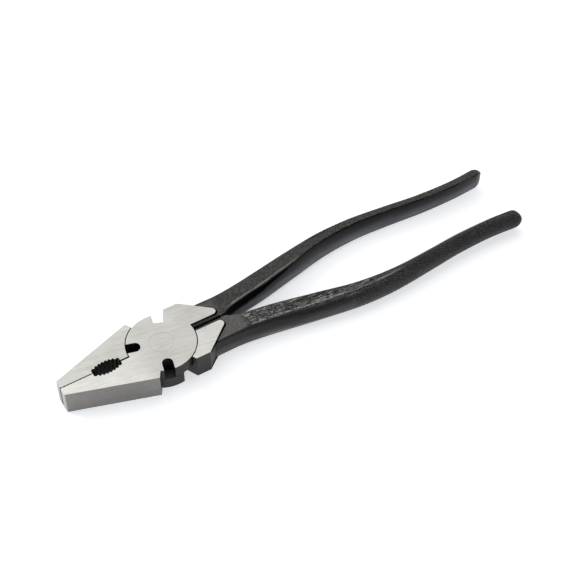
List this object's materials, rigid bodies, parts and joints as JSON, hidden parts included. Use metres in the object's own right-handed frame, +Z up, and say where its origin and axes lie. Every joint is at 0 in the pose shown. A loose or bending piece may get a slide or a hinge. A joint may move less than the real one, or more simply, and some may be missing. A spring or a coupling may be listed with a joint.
{
  "type": "lineman pliers",
  "caption": "Solid-joint pliers with a toothed pipe grip, shear notches for wire and a puller slot, on bare forged handles that turn on a flush rivet.",
  "frame": {"origin": "on the pivot axis, at the underside of the head that the pliers lie on", "axes": "+X from the joint towards the handle ends, so the jaws point to -X; +Y across the handles, towards the half whose jaw is at the rear; +Z up, through the thickness"},
  "size_m": [0.2515, 0.0482, 0.0138],
  "materials": {
    "forged_half_front": "black-finished forging, ground to bright satin steel on the head's faces and jaw sides",
    "forged_half_rear": "black-finished forging, ground to bright satin steel on the head's faces and jaw sides",
    "rivet_steel": "rivet end ground flush with the face, satin"
  },
  "bodies": {
    "front_half": {"front_jaw_half": "forged_half_front", "pivot_rivet": "rivet_steel"},
    "rear_half": {"rear_jaw_half": "forged_half_rear"}
  },
  "joints": [
    {"name": "jaw_pivot", "type": "hinge", "parent": "front_half", "child": "rear_half", "pos_m": [0, 0, 0], "axis": [0, 0, -1], "range_deg": [0, 40]}
  ]
}
